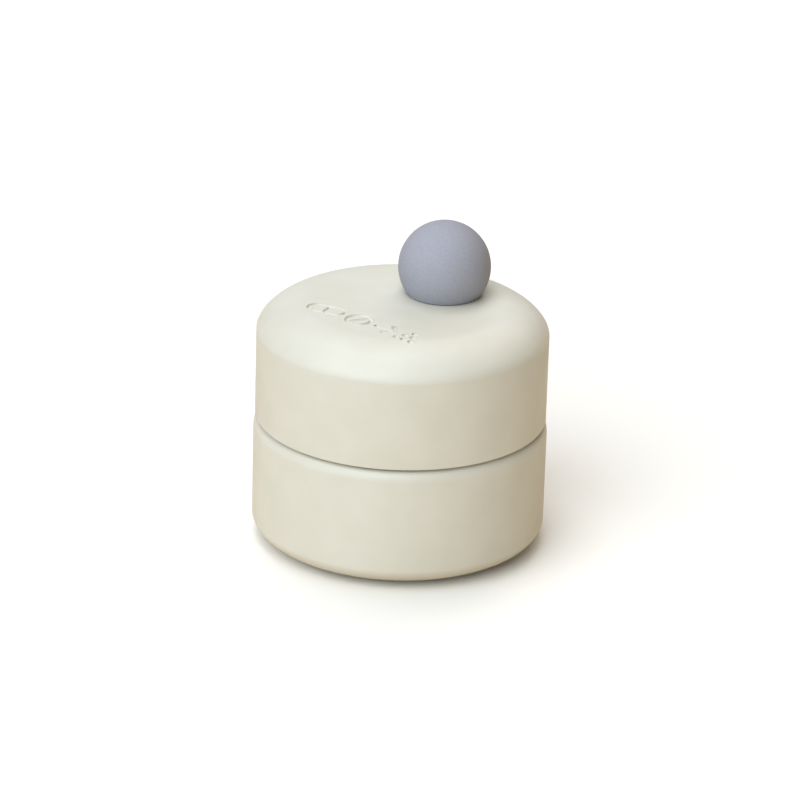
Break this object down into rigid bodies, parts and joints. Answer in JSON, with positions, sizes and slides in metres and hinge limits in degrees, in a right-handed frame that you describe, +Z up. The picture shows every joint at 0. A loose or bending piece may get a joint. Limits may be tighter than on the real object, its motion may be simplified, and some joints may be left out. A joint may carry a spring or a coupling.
{
  "type": "pill crusher",
  "caption": "Round rotary pill crusher with an off-centre ball grip: the upper half turns on the lower and mills tablets between ridged plates over a powder cup.",
  "frame": {"origin": "middle of the face that the crusher stands on, on the lid's turning axis", "axes": "+Z up along the lid's turning axis, -Y towards the front, with the ball grip behind and to the right at 38 degrees from +X"},
  "size_m": [0.07, 0.07, 0.0768],
  "materials": {
    "cream_plastic": "satin moulded cream plastic",
    "slate_soft_touch": "matte slate blue-grey soft-touch coating",
    "white_plastic": "satin moulded white plastic",
    "frosted_plastic": "frosted translucent plastic",
    "acetal": "smooth natural acetal",
    "grey_silicone": "matte grey silicone rubber",
    "stainless_steel": "fine-ground stainless steel",
    "spring_steel": "drawn spring wire",
    "brass": "turned brass"
  },
  "bodies": {
    "base": {"base_shell": "cream_plastic", "foot_pad": "grey_silicone"},
    "cup": {"powder_cup": "frosted_plastic"},
    "chamber": {"chamber_body": "white_plastic", "lower_burr": "stainless_steel", "lower_burr_screw_1": "stainless_steel", "lower_burr_screw_2": "stainless_steel", "lower_burr_screw_3": "stainless_steel"},
    "ring": {"glide_ring": "acetal", "plug_seal": "grey_silicone"},
    "lid": {"lid_shell": "cream_plastic", "lid_liner": "white_plastic", "liner_screw_1": "stainless_steel", "liner_screw_2": "stainless_steel", "liner_screw_3": "stainless_steel", "knob_bush": "acetal", "pressure_spring": "spring_steel"},
    "head": {"head_carrier": "white_plastic", "upper_burr": "stainless_steel", "upper_burr_screw_1": "stainless_steel", "upper_burr_screw_2": "stainless_steel", "upper_burr_screw_3": "stainless_steel", "stem_washer": "stainless_steel", "stem_screw": "stainless_steel"},
    "knob": {"knob_ball": "slate_soft_touch", "knob_insert": "brass", "knob_pin": "stainless_steel", "knob_washer": "acetal"}
  },
  "joints": [
    {"name": "lid_lift", "type": "slide", "parent": "base", "child": "ring", "axis": [0, 0, 1], "range_m": [0, 0.09]},
    {"name": "lid_turn", "type": "hinge", "parent": "ring", "child": "lid", "pos_m": [0, 0, 0.0375], "axis": [0, 0, 1], "continuous": true},
    {"name": "head_float", "type": "slide", "parent": "lid", "child": "head", "axis": [0, 0, 1], "range_m": [0, 0.0065], "stiffness_N_per_m": 900, "springref_m": -0.004, "deforming": ["pressure_spring"]},
    {"name": "knob_spin", "type": "hinge", "parent": "lid", "child": "knob", "pos_m": [0.00938, 0.00733, 0.06584], "axis": [0, 0, 1], "continuous": true},
    {"name": "chamber_lift", "type": "slide", "parent": "base", "child": "chamber", "axis": [0, 0, 1], "range_m": [0, 0.054]},
    {"name": "cup_lift", "type": "slide", "parent": "base", "child": "cup", "axis": [0, 0, 1], "range_m": [0, 0.027]}
  ],
  "couplings": [
    {"joint": "chamber_lift", "follows": "lid_lift", "ratio": 0.6},
    {"joint": "cup_lift", "follows": "lid_lift", "ratio": 0.3}
  ]
}
